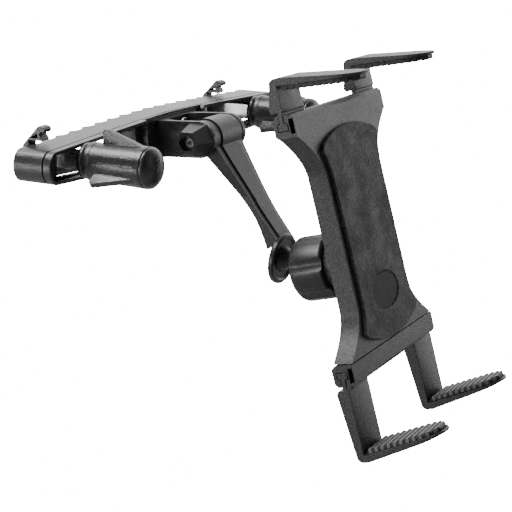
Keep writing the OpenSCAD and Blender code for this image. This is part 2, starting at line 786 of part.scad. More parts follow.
// Four screws that hold the clevis to the bar
module clevis_screws() {
    head_height = 1.8;
    color(steel) at_clevis_screws() difference() {
        union() {
            rod_y(shell_screw_radius, 0, web_thickness + plate_depth);
            rod_y(2 * shell_screw_radius, -head_height, 0);
        }
        translate([0, -head_height, 0]) rod_y(0.9, -over, 1.1);
    }
}

// Pivot bolt: button head on the right ear
module pivot_bolt() {
    head_radius = 5;
    head_length = 3.2;
    translate([0, pivot_y, pivot_z]) color(steel) difference() {
        union() {
            rod_x(pivot_radius, -boss_x + nut_seat - 1.2, clevis_half);
            rod_x(head_radius, clevis_half, clevis_half + head_length - 1);
            translate([clevis_half + head_length - 1, 0, 0]) rotate([0, 90, 0])
                cylinder(r1 = head_radius, r2 = head_radius - 1.4, h = 1);
        }
        hex_x(1.6, clevis_half + 0.8, clevis_half + head_length + over);
        rod_x(1.2, -boss_x, -boss_x + nut_seat + 0.6);
    }
}

// Pivot nut, trapped in the boss
module pivot_nut() {
    translate([0, pivot_y, pivot_z]) color(steel) difference() {
        hex_x(nut_half_width, -boss_x + nut_seat, -boss_x + nut_seat + nut_thickness - 0.05);
        rod_x(pivot_radius + 0.05, -boss_x, 0);
    }
}

// Slope of the arm from the pivot to the flange
arm_angle = atan2(flange_forward, flange_drop);

// Swing arm: hub, bent blade, round flange, neck and ball, in one piece
module swing_arm() {
    mid_y = pivot_y - flange_forward * 0.5 - 3.2;
    mid_z = pivot_z - flange_drop * 0.5 + 2.4;
    color(plastic) difference() {
        union() {
            intersection() {
                along_x(-hub_half, hub_half) arm_profile(0);
                translate([0, pivot_y + 2 * hub_radius, 0]) rotate([90, 0, 0])
                    linear_extrude(flange_forward + 4 * hub_radius) polygon([
                        [-hub_half, pivot_z + 2 * hub_radius], [-hub_half, pivot_z - hub_radius * 0.4],
                        [-arm_mid_width / 2, mid_z], [-arm_end_width / 2, flange_z],
                        [arm_end_width / 2, flange_z], [arm_mid_width / 2, mid_z],
                        [hub_half, pivot_z - hub_radius * 0.4], [hub_half, pivot_z + 2 * hub_radius]
                    ]);
            }
            intersection() {
                along_x(-hub_half * 0.62, hub_half * 0.62) arm_profile(band_height);
                translate([0, pivot_y + 2 * hub_radius, 0]) rotate([90, 0, 0])
                    linear_extrude(flange_forward + 4 * hub_radius) polygon([
                        [-hub_half * 0.62, pivot_z + 2 * hub_radius],
                        [-hub_half * 0.62, pivot_z - hub_radius * 0.4],
                        [-arm_mid_width * 0.3, mid_z], [-arm_end_width * 0.27, flange_z],
                        [arm_end_width * 0.27, flange_z], [arm_mid_width * 0.3, mid_z],
                        [hub_half * 0.62, pivot_z - hub_radius * 0.4],
                        [hub_half * 0.62, pivot_z + 2 * hub_radius]
                    ]);
            }
            translate([0, flange_y, flange_z]) rotate([90 + flange_slope, 0, 0]) arm_end();
        }
        translate([0, pivot_y, pivot_z])
            rod_x(pivot_radius + hub_bore_play, -clevis_half, clevis_half);
    }
}

// Side view of the hub and blade, with its front moved out by extra
module arm_profile(extra) {
    steps = 12;
    thin_at = 0.68;
    start_y = pivot_y - 3;
    start_z = pivot_z - 2;
    end_y = flange_y - 0.6;
    end_z = flange_z + flange_radius * 0.62;
    length = norm([end_y - start_y, end_z - start_z]);
    along = [end_y - start_y, end_z - start_z] / length;
    across = [along[1], -along[0]];
    function bow(t) = arm_bow * sin(180 * pow(t, 1.6));
    function half(t) = arm_thickness / 2 + arm_root_swell * pow(max(0, 1 - t / thin_at), 1.3)
        + arm_end_swell * pow(max(0, (t - thin_at) / (1 - thin_at)), 1.6);
    translate([pivot_y, pivot_z]) circle(r = hub_radius + extra, $fn = 64);
    polygon(concat(
        [for (i = [0 : steps]) let (t = i / steps)
            [start_y, start_z] + along * length * t + across * (bow(t) + half(t) - band_height + extra)],
        [for (i = [steps : -1 : 0]) let (t = i / steps)
            [start_y, start_z] + along * length * t + across * (bow(t) - half(t))]
    ));
}

// Flange, neck and ball, pointing along +Z from the flange's back
module arm_end() {
    edge = 0.8;
    ball_at = flange_thickness + neck_length;
    rotate_extrude($fn = 64) polygon([
        [0, -1], [flange_radius - 3.5, -1], [flange_radius - edge, 0], [flange_radius, edge],
        [flange_radius, flange_thickness - edge], [flange_radius - edge, flange_thickness],
        [flange_radius - 2.2, flange_thickness], [flange_radius - 3, flange_thickness - 0.9],
        [neck_root_radius + 1.2, flange_thickness - 0.9], [neck_root_radius, flange_thickness + 0.8],
        [neck_radius + 1, flange_thickness + 2.8], [neck_radius, flange_thickness + 5.4],
        [neck_radius, ball_at], [0, ball_at]
    ]);
    translate([0, 0, ball_at]) sphere(r = ball_radius, $fn = 64);
}

// Puts what is drawn around the ball's centre in its place, square to the holder
module at_ball() {
    translate([0, ball_y, ball_z]) rotate([-holder_lean, 0, 0]) children();
}

// Puts what is drawn around the holder's middle in its place; its front face is y = 0
module at_holder() {
    at_ball() translate([0, -holder_standoff, holder_raise]) children();
}

// A bowl-shaped friction cup in front of the ball
module friction_cup(radius, angle) {
    steps = 8;
    outer = radius + cup_thickness;
    at_ball() rotate([90, 0, 0]) color(rubber) rotate_extrude($fn = 64) polygon(concat(
        [for (i = [0 : steps]) let (a = angle * i / steps) [outer * sin(a), outer * cos(a)]],
        [for (i = [steps : -1 : 0]) let (a = angle * i / steps) [radius * sin(a), radius * cos(a)]]
    ));
}

// Ring nut: a fluted ring that closes the socket's fingers on the ball
module ring_nut() {
    front = ring_length - ring_reach;
    dome_steps = 6;
    at_ball() rotate([90, 0, 0]) color(plastic) difference() {
        rotate_extrude($fn = 64) polygon(concat(
            [[swing_start + swing_slope * ring_reach + 0.3, -ring_reach]],
            [for (i = [0 : dome_steps]) let (a = 90 * i / dome_steps)
                [ring_radius - ring_dome + ring_dome * sin(a), -ring_reach + ring_dome - ring_dome * cos(a)]],
            [[ring_radius, front - 0.8], [ring_radius - 0.8, front], [ring_bore, front],
             [ring_bore, -collar_reach - sphere_play],
             [swing_start + swing_slope * (collar_reach + sphere_play) + 0.3, -collar_reach - sphere_play]]
        ));
        for (i = [0 : flute_count - 1]) rotate([0, 0, 45 + i * 360 / flute_count])
            translate([ring_radius + flute_radius - flute_depth, 0, -ring_reach - over])
                cylinder(r = flute_radius, h = ring_length + 2 * over);
    }
}

// Collar with the ball's seat, on the back of the holder, drawn about the ball's centre
module socket_collar() {
    front = holder_standoff - holder_depth + 0.5;
    finger_gap = 1.6;
    rotate([90, 0, 0]) difference() {
        translate([0, 0, -collar_reach]) cylinder(r = collar_radius, h = collar_reach + front, $fn = 64);
        intersection() {
            sphere(r = socket_radius, $fn = 64);
            translate([0, 0, 0]) cylinder(r = 2 * socket_radius, h = 2 * socket_radius);
        }
        sphere(r = ball_radius + sphere_play, $fn = 64);
        translate([0, 0, -collar_reach - over])
            cylinder(r1 = swing_start + swing_slope * (collar_reach + over),
                     r2 = swing_start, h = collar_reach + over, $fn = 64);
        for (a = [0, 90]) rotate([0, 0, a])
            translate([-2 * collar_radius, -finger_gap / 2, -collar_reach - over])
                cube([4 * collar_radius, finger_gap, collar_reach + over + 4]);
    }
}

// Outline of the holder's spine and head in the XZ plane
module holder_outline(inset, low) {
    polygon(concat(
        mirrored(spine_edge(low, head_low, inset))
    ));
}

// Section of the head in the YZ plane; the foot uses its mirror image
module head_section() {
    polygon([
        [0, head_low], [0, holder_reach - end_chamfer], [end_chamfer * 0.8, holder_reach],
        [holder_depth - end_chamfer, holder_reach], [holder_depth, holder_reach - end_chamfer],
        [holder_depth, head_low + back_edge], [holder_depth - back_edge, head_low]
    ]);
}

// T-shaped slot along the head, and the narrow pocket at each of its ends
module head_cuts() {
    half_neck = neck_width / 2 + tee_play;
    half_tee = tee_width / 2 + tee_play;
    along_x(-end_half - over, end_half + over) {
        translate([slot_back - half_tee, tee_cavity_low])
            square([2 * half_tee, tee_cavity_top - tee_cavity_low]);
        translate([slot_back - half_neck, tee_cavity_top - over])
            square([2 * half_neck, lip_thickness + 2 * over]);
    }
    for (s = [-1, 1])
        along_x(s > 0 ? end_half - end_pocket_depth : -end_half - over,
                s > 0 ? end_half + over : -end_half + end_pocket_depth)
            translate([0.5, head_low + 1.7])
                square([end_pocket_width, head_height - 1.7 - end_chamfer]);
}

// Points of the six screws that close the holder
module at_holder_screws() {
    for (sx = [-1, 1], z = [-holder_screw_z, holder_screw_z])
        translate([sx * holder_screw_x, holder_depth, z]) children();
}

// Back housing: spine, the back of the head, and the ball's collar
module holder_back_housing() {
    spine_low = -head_low + foot_gap;
    at_holder() color(plastic) difference() {
        union() {
            along_y(cover_thickness, holder_depth - back_edge) holder_outline(side_step, -head_low);
            along_y(cover_thickness, holder_depth) holder_outline(side_step + back_edge, -head_low);
            intersection() {
                along_x(-end_half, end_half) head_section();
                translate([-holder_width, cover_thickness, 0]) cube([2 * holder_width, holder_depth, 2 * holder_reach]);
            }
            translate([0, holder_standoff, -holder_raise]) socket_collar();
        }
        translate([-holder_width, -over, -2 * holder_reach])
            cube([2 * holder_width, 2 * holder_depth, 2 * holder_reach + spine_low]);
        head_cuts();
        housing_cavity();
        at_holder_screws() {
            rod_y(holder_screw_radius, -holder_depth - over, over);
            mirror([0, 1, 0]) rod_y(holder_screw_head + bolt_play, -over, 2.2);
        }
    }
    at_holder() color(plastic) for (s = [-1, 1])
        translate([s * spring_x, 0, spring_high + wire_radius + post_pin_radius - 0.75])
            rod_y(post_pin_radius, cover_thickness, holder_depth - 2);
}

// Room in the spine for the foot's tongue and the two springs
module housing_cavity() {
    room_back = tongue_back + tongue_thickness / 2 + tongue_play;
    translate([-tongue_width / 2 - tongue_play, cover_thickness - over, -2 * holder_reach])
        cube([tongue_width + 2 * tongue_play, room_back - cover_thickness + over,
              2 * holder_reach + cavity_top - 6]);
    for (s = [-1, 1]) translate([s * spring_x, 0, 0])
        translate([-coil_radius - wire_radius - 0.6, cover_thickness - over, -head_low - over])
            cube([2 * (coil_radius + wire_radius + 0.6), room_back - cover_thickness + over + 0.6,
                  head_low + over + cavity_top]);
}

// Front cover, with the front wall of the head
module holder_front_cover() {
    at_holder() color(plastic) difference() {
        union() {
            along_y(0, cover_thickness) holder_outline(0, -head_low);
            intersection() {
                along_x(-end_half, end_half) head_section();
                translate([-holder_width, 0, 0]) cube([2 * holder_width, cover_thickness, 2 * holder_reach]);
            }
        }
        translate([-holder_width, -over, -2 * holder_reach])
            cube([2 * holder_width, 2 * holder_depth, 2 * holder_reach - head_low + foot_gap]);
        head_cuts();
        at_holder_screws() rod_y(holder_screw_radius - 0.2, -holder_depth + 0.8, over - holder_depth + cover_thickness);
    }
}

// Screws from behind that close the holder
module holder_screws() {
    color(steel) at_holder() at_holder_screws() mirror([0, 1, 0]) translate([0, 2.2, 0]) difference() {
        union() {
            rod_y(holder_screw_radius - 0.2, -0.4, holder_depth - 3.4);
            rod_y(holder_screw_head, -1.6, 0);
        }
        translate([-0.35, -1.6 - over, -1.7]) cube([0.7, over + 0.8, 3.4]);
        translate([-1.7, -1.6 - over, -0.35]) cube([3.4, over + 0.8, 0.7]);
    }
}

// Half the width of the rubber pad at a height z
function pad_half(z) = pad_waist / 2 + (pad_corner_width - pad_waist) / 2
    * pow(max(0, abs(z) - pad_corner_height * 0.3) / (pad_corner_height * 0.2), 2);

// Outline of the pad: curved sides, rounded corners, bulging ends
module pad_outline() {
    steps = 10;
    corner = 3;
    side = [for (i = [-steps : steps]) let (z = (pad_corner_height / 2 - corner) * i / steps) [pad_half(z), z]];
    edge_half = pad_half(pad_corner_height / 2 - corner) - corner;
    function end_z(x) = pad_corner_height / 2 + pad_bulge * (1 - pow(x / edge_half, 2));
    top = [for (i = [steps : -1 : -steps]) let (x = edge_half * i / steps) [x, end_z(x)]];
    bottom = [for (i = [-steps : steps]) let (x = edge_half * i / steps) [x, -end_z(x)]];
    left = [for (i = [steps : -1 : -steps]) let (z = (pad_corner_height / 2 - corner) * i / steps) [-pad_half(z), z]];
    polygon(concat(side, top, left, bottom));
}

// An oval of a given length and height
module oval(length, height) {
    steps = 48;
    polygon([for (i = [0 : steps - 1]) let (a = 360 * i / steps) [length / 2 * cos(a), height / 2 * sin(a)]]);
}

// Rubber pad that the tablet leans on
module front_pad() {
    at_holder() color(rubber) difference() {
        along_y(-pad_thickness, 0) pad_outline();
        translate([0, 0, -badge_drop]) along_y(-pad_thickness - over, -pad_thickness + badge_depth)
            oval(badge_length, badge_height);
    }
}

// Bare oval plate in the pad's badge seat
module badge_plate() {
    y0 = -pad_thickness + badge_depth;
    at_holder() translate([0, 0, -badge_drop]) color(plastic)
        along_y(y0 - badge_thickness, y0) oval(badge_length - 0.4, badge_height - 0.4);
}

// Sliding foot: the lower end with its T slot, and a tongue in the spine
module sliding_foot() {
    at_holder() color(plastic) union() {
        mirror([0, 0, 1]) difference() {
            along_x(-end_half, end_half) head_section();
            head_cuts();
        }
        translate([-tongue_width / 2, tongue_back - tongue_thickness / 2, -head_low - over])
            cube([tongue_width, tongue_thickness, tongue_length + over]);
        for (s = [-1, 1])
            translate([s * spring_x - coil_radius, spring_y - 0.8, -head_low - over])
                cube([2 * coil_radius, 1.6, spring_low + head_low + over - wire_radius - 0.1]);
    }
}

// Points around a helix of wire, ring by ring
function helix_ring(t, low, high, sides) =
    let (a = 360 * spring_turns * t, z = low + (high - low) * t,
         centre = [coil_radius * cos(a), coil_radius * sin(a), z],
         outward = [cos(a), sin(a), 0])
    [for (k = [0 : sides - 1]) let (b = 360 * k / sides)
        centre + wire_radius * (outward * cos(b) + [0, 0, 1] * sin(b))];

// Return spring: a coil that pulls the foot home
module return_spring(s) {
    sides = 5;
    rings = spring_turns * 9;
    low = spring_low;
    high = spring_high;
    points = [for (i = [0 : rings]) each helix_ring(i / rings, low, high, sides)];
    walls = [for (i = [0 : rings - 1], k = [0 : sides - 1]) let (n = (k + 1) % sides) each [
        [i * sides + k, i * sides + n, (i + 1) * sides + n],
        [i * sides + k, (i + 1) * sides + n, (i + 1) * sides + k]]];
    caps = [[for (k = [sides - 1 : -1 : 0]) k], [for (k = [0 : sides - 1]) rings * sides + k]];
    at_holder() translate([s * spring_x, spring_y, 0]) color(steel)
        polyhedron(points = points, faces = concat(walls, caps), convexity = 20);
}

// Side view of a leg in [y, z], for a leg that points up
module leg_profile(reach, rise) {
    front = slot_back - 1.8;
    root = holder_reach + leg_gap;
    inner = reach - grip_thickness;
    back = front + leg_corner_depth;
    function grip(y) = inner - (front - y) * tan(rise);
    function under(y) = reach - max(0, front - 1.8 - y) * tan(rise + grip_taper);
    polygon([
        [front, root], [front, inner], [-leg_forward + 1.4, grip(-leg_forward + 1.4)],
        [-leg_forward + 0.3, grip(-leg_forward + 0.3) + 0.8], [-leg_forward, grip(-leg_forward) + 1.7],
        [-leg_forward + 0.9, under(-leg_forward + 0.9)], [front - 1.8, reach],
        [back - 3, reach], [back - 1.2, reach - 0.7], [back - 0.3, reach - 2], [back, reach - 4.2],
        [front + leg_root_depth, root + 1.6], [front + leg_root_depth - 0.9, root]
    ]);
}

// Plan of a leg and its grip bar in [x, y], drawn inside the true one by inset
module leg_plan(inset) {
    half = leg_width / 2 - inset;
    tip = 13;
    steps = 10;
    polygon(concat(
        [[half, holder_depth + 4], [-half, holder_depth + 4]],
        [for (i = [0 : steps]) let (a = 180 + 180 * i / steps)
            [half * cos(a), -leg_forward + tip + (tip - inset) * sin(a)]]
    ));
}

// A leg that points up, with its T head in the slot
module leg_body(reach, rise) {
    tee_top = tee_cavity_top - tee_play;
    color(plastic) union() {
        intersection() {
            along_x(-leg_width / 2, leg_width / 2) leg_profile(reach, rise);
            linear_extrude(2 * reach) leg_plan(0);
        }
        along_x(-leg_width / 2, leg_width / 2) {
            translate([slot_back - tee_width / 2, tee_top - tee_height]) square([tee_width, tee_height]);
            translate([slot_back - neck_width / 2, tee_top - over])
                square([neck_width, holder_reach + leg_gap - tee_top + 2 * over]);
        }
    }
}

// Ribbed rubber on the grip face of a leg that points up
module leg_rubber(reach, rise) {
    front = slot_back - 1.8;
    inner = reach - grip_thickness;
    y_start = front - 1.4;
    y_end = -leg_forward + 2;
    step = (y_start - y_end) / rib_count;
    flat = rubber_thickness - rib_height;
    function grip(y) = inner - (front - y) * tan(rise);
    color(rubber) intersection() {
        along_x(-leg_width / 2, leg_width / 2) polygon(concat(
            [[y_end, grip(y_end)], [y_start, grip(y_start)], [y_start, grip(y_start) - flat]],
            [for (i = [0 : rib_count - 1]) each [
                [y_start - step * (i + 0.3), grip(y_start - step * (i + 0.3)) - rubber_thickness],
                [y_start - step * (i + 0.7), grip(y_start - step * (i + 0.7)) - rubber_thickness],
                [y_start - step * (i + 1), grip(y_start - step * (i + 1)) - flat]]]
        ));
        linear_extrude(2 * reach) leg_plan(1.4);
    }
}

// Puts a leg that points up in its place on the holder
module at_leg(side, up) {
    x = side < 0 ? -left_leg_x : right_leg_x;
    at_holder() translate([x, 0, 0]) if (up) children(); else mirror([0, 0, 1]) children();
}

bar_rear_shell();
bar_front_shell();
bar_screws();
jaw(-clamp_x);  // left_jaw
guide_block(-clamp_x);  // left_guide_block
clamp_bolt(-clamp_x);  // left_clamp_bolt
thrust_washer(-clamp_x);  // left_thrust_washer
knob(-clamp_x);  // left_knob
knob_insert(-clamp_x);  // left_knob_insert
jaw(clamp_x);  // right_jaw
guide_block(clamp_x);  // right_guide_block
clamp_bolt(clamp_x);  // right_clamp_bolt
thrust_washer(clamp_x);  // right_thrust_washer
knob(clamp_x);  // right_knob
knob_insert(clamp_x);  // right_knob_insert
clevis();
clevis_screws();
pivot_bolt();
pivot_nut();
swing_arm();
friction_cup(inner_cup_radius, inner_cup_angle);  // inner_friction_cup
friction_cup(outer_cup_radius, outer_cup_angle);  // outer_friction_cup
ring_nut();
holder_back_housing();
holder_front_cover();
holder_screws();
front_pad();
badge_plate();
sliding_foot();
return_spring(-1);  // left_return_spring
return_spring(1);  // right_return_spring
at_leg(-1, true) leg_body(holder_reach + top_leg_length + leg_gap, top_grip_rise);  // top_left_leg
at_leg(-1, true) leg_rubber(holder_reach + top_leg_length + leg_gap, top_grip_rise);  // top_left_rubber
at_leg(1, true) leg_body(holder_reach + top_leg_length + leg_gap, top_grip_rise);  // top_right_leg
at_leg(1, true) leg_rubber(holder_reach + top_leg_length + leg_gap, top_grip_rise);  // top_right_rubber
at_leg(-1, false) leg_body(holder_reach + bottom_leg_length + leg_gap, bottom_grip_rise);  // bottom_left_leg
at_leg(-1, false) leg_rubber(holder_reach + bottom_leg_length + leg_gap, bottom_grip_rise);  // bottom_left_rubber
at_leg(1, false) leg_body(holder_reach + bottom_leg_length + leg_gap, bottom_grip_rise);  // bottom_right_leg
at_leg(1, false) leg_rubber(holder_reach + bottom_leg_length + leg_gap, bottom_grip_rise);  // bottom_right_rubber
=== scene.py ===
# %% [markdown]
# # A headrest tablet mount, dressed for its portrait
# The imported model brings every solid in its true place and size, so no shape is drawn twice. This
# script gives those solids their finish: soft moulded edges, grained plastic, mottled rubber and
# plated steel. It starts by loading the frame.

# %% Load the frame
import json
import math

import bmesh
import bpy
from mathutils import Matrix, Vector


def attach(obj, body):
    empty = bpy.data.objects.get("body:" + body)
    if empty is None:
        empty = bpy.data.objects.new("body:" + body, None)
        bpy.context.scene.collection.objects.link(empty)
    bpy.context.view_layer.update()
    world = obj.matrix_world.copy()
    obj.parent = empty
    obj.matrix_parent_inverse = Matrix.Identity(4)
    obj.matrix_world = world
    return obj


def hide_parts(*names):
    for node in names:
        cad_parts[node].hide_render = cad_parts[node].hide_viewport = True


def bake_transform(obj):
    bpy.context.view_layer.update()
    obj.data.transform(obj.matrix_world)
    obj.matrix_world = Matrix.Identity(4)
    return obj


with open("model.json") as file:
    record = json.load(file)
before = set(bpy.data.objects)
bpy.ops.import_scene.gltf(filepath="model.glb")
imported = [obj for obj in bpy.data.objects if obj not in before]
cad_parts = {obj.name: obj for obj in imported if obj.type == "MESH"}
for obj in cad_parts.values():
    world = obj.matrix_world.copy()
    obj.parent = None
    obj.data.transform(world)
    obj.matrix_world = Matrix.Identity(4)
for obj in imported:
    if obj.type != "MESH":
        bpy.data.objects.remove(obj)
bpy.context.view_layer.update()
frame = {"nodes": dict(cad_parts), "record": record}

# %% [markdown]
# Each piece of the mount belongs to one moving body, such as a knob, the arm or a leg, and has one
# finish. Both could be typed here again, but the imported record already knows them. Reading them
# from there keeps this script right when a piece changes its body.

# %% Which body and which finish each piece has
node_body = {
    node: body
    for body, nodes in frame["record"]["behaviour"]["bodies"].items()
    for node in nodes
}
node_slot = {part["node"]: part["material_slot"] for part in frame["record"]["subparts"]}
print("finishes asked for", sorted(set(node_slot.values())))

# %% [markdown]
# The camera stands where the photographer stood: to the left of the bar, a little above it, and
# less than a metre away. A lens of this length on a 36 mm sensor gives the photograph's frame.
# A Track To constraint could aim it, but the three axes of the view are as easily written out, and
# then nothing can turn the camera later.

# %% Camera
CAMERA_PLACE = Vector((-0.6342, -0.4115, 0.1393))
CAMERA_AZIMUTH = math.radians(-60.6)
CAMERA_HEIGHT = math.radians(15.5)
LENS_MM = 98.44
SENSOR_MM = 36
NEAREST_DRAWN = 0.01

view_right = Vector((math.cos(CAMERA_AZIMUTH), math.sin(CAMERA_AZIMUTH), 0))
view_back = Vector((
    math.sin(CAMERA_AZIMUTH) * math.cos(CAMERA_HEIGHT),
    -math.cos(CAMERA_AZIMUTH) * math.cos(CAMERA_HEIGHT),
    math.sin(CAMERA_HEIGHT),
))
view_up = view_back.cross(view_right)
view_axes = Matrix((view_right, view_up, view_back)).transposed()

camera_data = bpy.data.cameras.new("portrait_camera")
camera_data.sensor_width = SENSOR_MM
camera_data.lens = LENS_MM
camera_data.clip_start = NEAREST_DRAWN
camera = bpy.data.objects.new("portrait_camera", camera_data)
bpy.context.scene.collection.objects.link(camera)
camera.matrix_world = Matrix.Translation(CAMERA_PLACE) @ view_axes.to_4x4()
bpy.context.scene.camera = camera
print("camera looks along", tuple(round(c, 3) for c in -view_back))

# %% [markdown]
# A product photograph stands on pure white. If floor and sky really lit the object that brightly,
# black plastic would turn grey. So the camera sees one shader, which is white, and the object is
# lit by another, which is dim. The Light Path node tells the two apart.

# %% The camera sees one shader, the object is lit by another
WHITE = (1, 1, 1, 1)


def split_by_camera(tree, lighting, seen, surface):
    path = tree.nodes.new("ShaderNodeLightPath")
    pick = tree.nodes.new("ShaderNodeMixShader")
    tree.links.new(path.outputs["Is Camera Ray"], pick.inputs[0])
    tree.links.new(lighting, pick.inputs[1])
    tree.links.new(seen, pick.inputs[2])
    tree.links.new(pick.outputs[0], surface)


print("floor and surroundings look", WHITE[:3])

# %% [markdown]
# The object hangs from a headrest, so the floor lies well below it. One large square is enough,
# because the white surroundings hide its far edge. Its glow lifts the undersides a little, as
# paper on a studio table does.

# %% Floor
FLOOR_LEVEL = -0.24
FLOOR_HALF = 6.0
FLOOR_GREY = (0.4, 0.4, 0.4, 1)
FLOOR_ROUGHNESS = 0.9
FLOOR_CORNERS = [(-1, -1), (1, -1), (1, 1), (-1, 1)]


def white_floor(seen, glow):
    mesh = bpy.data.meshes.new("studio_floor")
    corners = [(x * FLOOR_HALF, y * FLOOR_HALF, 0) for x, y in FLOOR_CORNERS]
    mesh.from_pydata(corners, [], [(0, 1, 2, 3)])
    floor = bpy.data.objects.new("studio_floor", mesh)
    floor.location.z = FLOOR_LEVEL
    bpy.context.scene.collection.objects.link(floor)
    finish = bpy.data.materials.new("pale_floor")
    finish.use_nodes = True
    tree = finish.node_tree
    shader = tree.nodes["Principled BSDF"]
    shader.inputs["Base Color"].default_value = FLOOR_GREY
    shader.inputs["Roughness"].default_value = FLOOR_ROUGHNESS
    shader.inputs["Emission Color"].default_value = WHITE
    shader.inputs["Emission Strength"].default_value = glow
    white = tree.nodes.new("ShaderNodeEmission")
    white.inputs["Strength"].default_value = seen
    surface = tree.nodes["Material Output"].inputs["Surface"]
    split_by_camera(tree, shader.outputs[0], white.outputs[0], surface)
    mesh.materials.append(finish)


white_floor(seen=25.0, glow=0.05)
print("floor at", FLOOR_LEVEL)

# %% [markdown]
# Smooth plastic that is seen at a low angle mirrors what stands behind it. In the photograph the
# top of the bar and the tops of the grips are pale for that reason. A bright card behind the object
# would do it, and so does a world whose brightness grows towards one side. The world has no edge
# that could show in a reflection, so it is used here.

# %% Surroundings with one bright side
TOWARDS_BACKDROP = (0.87, 0.49, 0.0)
BACKDROP_BEGINS = 0.1
BACKDROP_FULL = 0.85


def studio_world(seen, backdrop, room):
    world = bpy.data.worlds.new("studio")
    bpy.context.scene.world = world
    world.use_nodes = True
    tree = world.node_tree
    tree.nodes.clear()
    place = tree.nodes.new("ShaderNodeTexCoord")
    side = tree.nodes.new("ShaderNodeVectorMath")
    side.operation = "DOT_PRODUCT"
    side.inputs[1].default_value = TOWARDS_BACKDROP
    strength = tree.nodes.new("ShaderNodeMapRange")
    strength.interpolation_type = "SMOOTHSTEP"
    strength.inputs["From Min"].default_value = BACKDROP_BEGINS
    strength.inputs["From Max"].default_value = BACKDROP_FULL
    strength.inputs["To Min"].default_value = room
    strength.inputs["To Max"].default_value = backdrop
    lighting = tree.nodes.new("ShaderNodeBackground")
    lighting.inputs["Color"].default_value = WHITE
    white = tree.nodes.new("ShaderNodeBackground")
    white.inputs["Color"].default_value = WHITE
    white.inputs["Strength"].default_value = seen
    output = tree.nodes.new("ShaderNodeOutputWorld")
    tree.links.new(place.outputs["Generated"], side.inputs[0])
    tree.links.new(side.outputs["Value"], strength.inputs["Value"])
    tree.links.new(strength.outputs[0], lighting.inputs["Strength"])
    split_by_camera(tree, lighting.outputs[0], white.outputs[0], output.inputs[0])


studio_world(seen=25.0, backdrop=2.3, room=0.08)
print("bright side towards", TOWARDS_BACKDROP)

# %% [markdown]
# Black plastic shows almost nothing but reflections. A wide lamp overhead draws the bright bands
# along the knobs and the nose of the bar. One on the camera's left lights the sides, and a low,
# narrow one beside it puts the second band on the lower half of the knobs. Weaker lamps in front
# and on the right keep the holder and the legs readable. Point lamps would leave hard white dots,
# so these are area lamps, whose reflections are as wide as the lamp. Each is placed in metres,
# aimed at a point of the object, and kept out of the camera's sight.

# %% Lamps


def soft_lamp(name, place, target, width, height, watts):
    data = bpy.data.lights.new(name, "AREA")
    data.shape = "RECTANGLE"
    data.size = width
    data.size_y = height
    data.energy = watts
    lamp = bpy.data.objects.new(name, data)
    lamp.location = Vector(place)
    aim = Vector(target) - lamp.location
    lamp.rotation_euler = aim.to_track_quat("-Z", "Y").to_euler()
    lamp.visible_camera = False
    bpy.context.scene.collection.objects.link(lamp)


soft_lamp("overhead_lamp", (-0.25, 0.45, 0.85), (0, 0, 0), width=0.5, height=0.5, watts=15)
soft_lamp("left_lamp", (-1.0, 0.1, 0.35), (0, 0, 0), width=0.4, height=0.8, watts=2.2)
soft_lamp("low_left_lamp", (-1.1, 0.75, -0.12), (-0.1, 0, 0), width=0.5, height=0.13, watts=5.5)
soft_lamp("front_lamp", (0.5, -1.1, 0.45), (0, -0.1, -0.05), width=0.8, height=0.8, watts=1.5)
soft_lamp("right_lamp", (1.1, -0.6, -0.02), (0, -0.1, -0.08), width=0.6, height=0.7, watts=2.0)

# %% [markdown]
# The plastics, the ribbed rubber and the pad each have a surface effect of their own, and several
# materials use it with other values. Such an effect is best kept in a shader node group, which is
# built once and has named inputs and outputs. Groups can be wired by hand in the shader editor.
# In a script that takes many lines, so a small helper makes the nodes and joins them up.

# %% A helper that builds node groups
NOISE_LOW = 0.3
NOISE_HIGH = 0.7
EFFECT_OUTPUTS = [
    ("Colour", "NodeSocketColor"),
    ("Roughness", "NodeSocketFloat"),
    ("Height", "NodeSocketFloat"),
]


